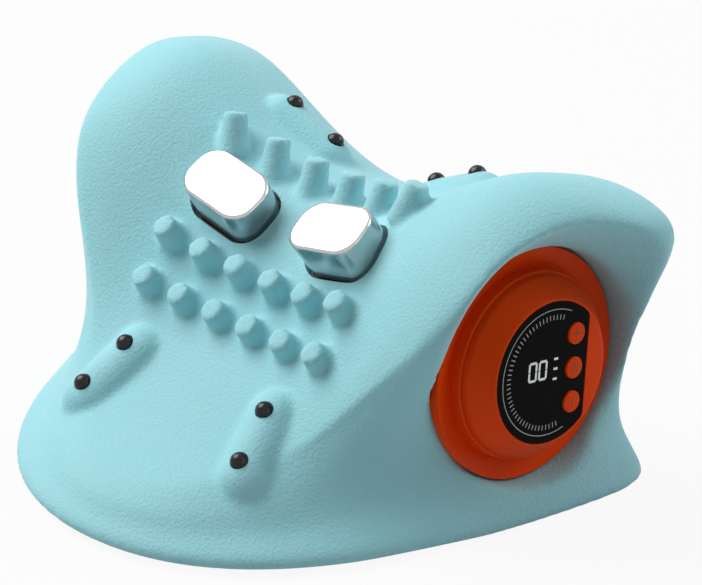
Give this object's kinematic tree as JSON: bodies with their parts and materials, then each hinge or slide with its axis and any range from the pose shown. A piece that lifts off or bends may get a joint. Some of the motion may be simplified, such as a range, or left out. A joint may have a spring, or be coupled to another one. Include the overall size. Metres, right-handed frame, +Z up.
{
  "type": "neck massage pillow",
  "caption": "Neck massage pillow: a moulded foam wedge with a cradle between two wings, massage nubs, metal pulse pads and beads, vibration motors inside, and a round control pod on one flank.",
  "frame": {"origin": "on the surface it stands on, under the middle of its outer box", "axes": "+X to the flank with the control pod, +Y to the upright back, +Z up"},
  "size_m": [0.2558, 0.184, 0.1239],
  "materials": {
    "foam_skin": "matte",
    "grey_plastic": "matte",
    "black_plastic": "matte",
    "dark_rubber": "matte",
    "steel": "satin",
    "satin_chrome": "satin",
    "bead_black": "gloss",
    "brass": "satin",
    "cell_wrap": "gloss",
    "orange_gloss": "gloss",
    "lens_black": "gloss",
    "board_green": "matte",
    "lead_red": "matte"
  },
  "bodies": {
    "body": {"foam_body": "foam_skin", "core_frame": "grey_plastic", "base_cover": "black_plastic", "rubber_foot_1": "dark_rubber", "rubber_foot_2": "dark_rubber", "rubber_foot_3": "dark_rubber", "rubber_foot_4": "dark_rubber", "base_screw_1": "steel", "base_screw_2": "steel", "base_screw_3": "steel", "base_screw_4": "steel", "pulse_cap_left": "satin_chrome", "heater_plate_left": "grey_plastic", "pulse_carrier_left": "black_plastic", "pulse_gasket_left": "dark_rubber", "pulse_cap_right": "satin_chrome", "heater_plate_right": "grey_plastic", "pulse_carrier_right": "black_plastic", "pulse_gasket_right": "dark_rubber", "magnet_bead_1": "bead_black", "magnet_bead_2": "bead_black", "magnet_bead_3": "bead_black", "magnet_bead_4": "bead_black", "magnet_bead_5": "bead_black", "magnet_bead_6": "bead_black", "magnet_bead_7": "bead_black", "magnet_bead_8": "bead_black", "motor_can_left": "steel", "motor_clamp_left": "steel", "motor_can_right": "steel", "motor_clamp_right": "steel", "clamp_screw_1": "steel", "clamp_screw_2": "steel", "clamp_screw_3": "steel", "clamp_screw_4": "steel", "battery_cell": "cell_wrap", "pod_housing": "orange_gloss", "pod_bezel": "orange_gloss", "display_lens": "lens_black", "led_display": "black_plastic", "main_board": "board_green", "pod_screw_1": "steel", "pod_screw_2": "steel", "charge_port": "black_plastic", "tact_switch_plus": "black_plastic", "tact_switch_mode": "black_plastic", "tact_switch_power": "black_plastic", "pulse_lead_left": "lead_red", "pulse_lead_right": "lead_red", "motor_lead_left": "lead_red", "motor_lead_right": "lead_red", "charge_lead": "lead_red", "battery_lead": "lead_red"},
    "rotor_left": {"motor_shaft_left": "steel", "eccentric_weight_left": "brass"},
    "rotor_right": {"motor_shaft_right": "steel", "eccentric_weight_right": "brass"},
    "plus_button": {"button_plus": "orange_gloss"},
    "mode_button": {"button_mode": "orange_gloss"},
    "power_button": {"button_power": "orange_gloss"}
  },
  "joints": [
    {"name": "rotor_left_spin", "type": "hinge", "parent": "body", "child": "rotor_left", "pos_m": [-0.029, 0.024, 0.034], "axis": [1, 0, 0], "continuous": true},
    {"name": "rotor_right_spin", "type": "hinge", "parent": "body", "child": "rotor_right", "pos_m": [0.029, 0.024, 0.034], "axis": [1, 0, 0], "continuous": true},
    {"name": "plus_press", "type": "slide", "parent": "body", "child": "plus_button", "axis": [-0.993, 0.0694, -0.0958], "range_m": [0, 0.0006], "stiffness_N_per_m": 400, "springref_m": -0.0003},
    {"name": "mode_press", "type": "slide", "parent": "body", "child": "mode_button", "axis": [-0.993, 0.0694, -0.0958], "range_m": [0, 0.0006], "stiffness_N_per_m": 400, "springref_m": -0.0003},
    {"name": "power_press", "type": "slide", "parent": "body", "child": "power_button", "axis": [-0.993, 0.0694, -0.0958], "range_m": [0, 0.0006], "stiffness_N_per_m": 400, "springref_m": -0.0003}
  ]
}
